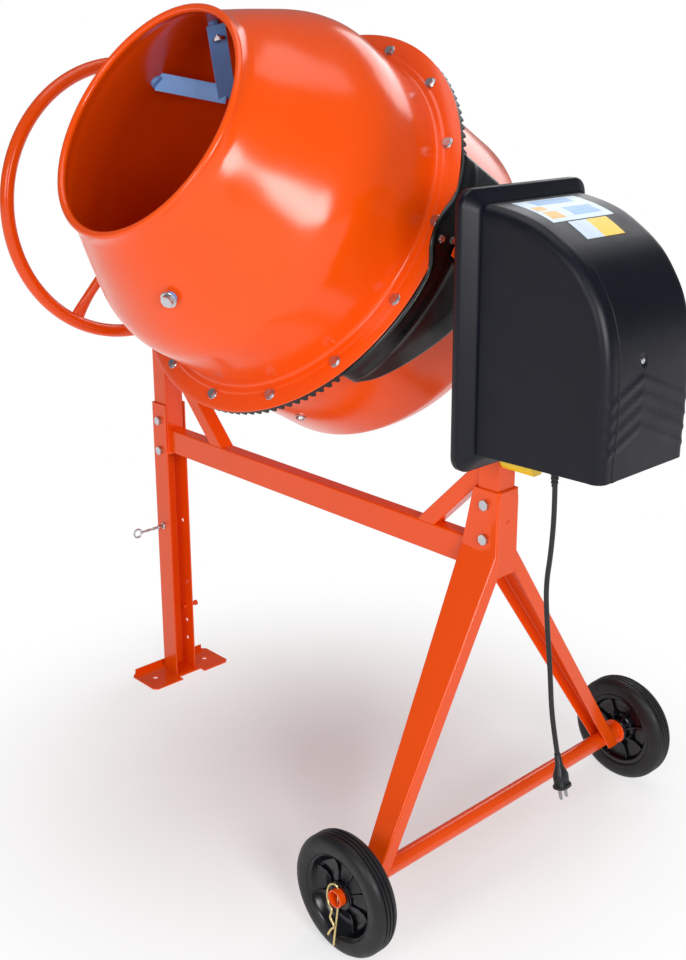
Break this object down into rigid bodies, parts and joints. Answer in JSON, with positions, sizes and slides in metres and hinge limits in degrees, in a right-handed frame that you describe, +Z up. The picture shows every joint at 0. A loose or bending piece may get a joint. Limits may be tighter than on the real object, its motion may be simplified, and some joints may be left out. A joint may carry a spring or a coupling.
{
  "type": "concrete mixer",
  "caption": "Portable electric concrete mixer: a tilting steel drum with a ring gear, motor case and hand wheel on a welded stand with wheels and a foot.",
  "frame": {"origin": "on the floor under the centre of the machine's bounding box", "axes": "+Z up, +X towards the motor case and wheels, -Y towards the drum's mouth"},
  "size_m": [1.2243, 0.7867, 1.3087],
  "materials": {
    "orange_enamel": "gloss enamel",
    "zinc": "zinc plated",
    "gilt_wire": "yellow passivated spring wire",
    "cast_iron": "black painted casting",
    "blade_steel": "blue grey paint",
    "case_plastic": "satin black",
    "switch_green": "gloss",
    "tyre_rubber": "solid rubber",
    "wheel_plastic": "moulded",
    "plate_steel": "galvanised",
    "motor_paint": "satin grey",
    "belt_rubber": "ribbed",
    "cord_rubber": "satin"
  },
  "bodies": {
    "frame": {"left_post": "orange_enamel", "right_post": "orange_enamel", "cross_beam": "orange_enamel", "right_brace": "orange_enamel", "left_brace": "orange_enamel", "stand_leg": "orange_enamel", "foot_plate": "orange_enamel", "stand_bolts": "zinc", "stand_peg": "orange_enamel", "height_pin": "zinc", "front_leg": "orange_enamel", "rear_leg": "orange_enamel", "leg_bolts": "zinc", "axle_tube": "orange_enamel", "axle_washers": "zinc", "hairpin_clips": "gilt_wire", "left_bearing": "cast_iron", "right_bearing": "cast_iron", "motor_plate": "plate_steel", "case_back": "case_plastic", "case_cover": "case_plastic", "case_screws": "zinc", "switch_housing": "case_plastic", "motor": "motor_paint", "motor_shelf": "plate_steel", "drive_belt": "belt_rubber", "power_cord": "cord_rubber", "cord_gland": "cord_rubber", "plug": "cord_rubber"},
    "yoke": {"left_yoke_arm": "orange_enamel", "right_yoke_arm": "orange_enamel", "yoke_base": "orange_enamel", "drum_spindle": "zinc", "spindle_nut": "zinc", "left_trunnion": "zinc", "right_trunnion": "zinc", "handwheel_spokes": "orange_enamel", "handwheel_rim": "orange_enamel", "handwheel_hub": "orange_enamel", "gear_guard": "case_plastic", "guard_screws": "zinc"},
    "drum": {"drum_front": "orange_enamel", "drum_back": "orange_enamel", "drum_hub": "cast_iron", "flange_bolts": "zinc", "ring_gear": "cast_iron", "upper_blade": "blade_steel", "lower_blade": "blade_steel", "blade_bolts": "zinc"},
    "pinion_drive": {"pinion": "cast_iron", "pinion_shaft": "zinc", "large_pulley": "cast_iron"},
    "motor_rotor": {"motor_shaft": "zinc", "motor_pulley": "cast_iron"},
    "front_roller": {"front_tyre": "tyre_rubber", "front_wheel": "wheel_plastic"},
    "rear_roller": {"rear_tyre": "tyre_rubber", "rear_wheel": "wheel_plastic"},
    "switch": {"switch_rocker": "switch_green"}
  },
  "joints": [
    {"name": "drum_tilt", "type": "hinge", "parent": "frame", "child": "yoke", "pos_m": [-0.07665, 0.01322, 0.959], "axis": [1, 0, 0], "range_deg": [-58, 81]},
    {"name": "drum_spin", "type": "hinge", "parent": "yoke", "child": "drum", "pos_m": [-0.07665, 0.01322, 0.959], "axis": [0, -0.8526, 0.5225], "continuous": true},
    {"name": "pinion_spin", "type": "hinge", "parent": "yoke", "child": "pinion_drive", "pos_m": [0.25335, 0.01322, 0.959], "axis": [1, 0, 0], "continuous": true},
    {"name": "motor_spin", "type": "hinge", "parent": "frame", "child": "motor_rotor", "pos_m": [0.40735, 0.01322, 0.784], "axis": [1, 0, 0], "continuous": true},
    {"name": "front_wheel_spin", "type": "hinge", "parent": "frame", "child": "front_roller", "pos_m": [0.37635, -0.32178, 0.0915], "axis": [0, 1, 0], "continuous": true},
    {"name": "rear_wheel_spin", "type": "hinge", "parent": "frame", "child": "rear_roller", "pos_m": [0.37635, 0.34822, 0.0915], "axis": [0, 1, 0], "continuous": true},
    {"name": "switch_rock", "type": "hinge", "parent": "frame", "child": "switch", "pos_m": [0.47935, 0.12772, 0.872], "axis": [1, 0, 0], "range_deg": [-12, 0]}
  ],
  "couplings": [
    {"joint": "pinion_spin", "follows": "drum_spin", "ratio": -12},
    {"joint": "motor_spin", "follows": "drum_spin", "ratio": -48}
  ]
}
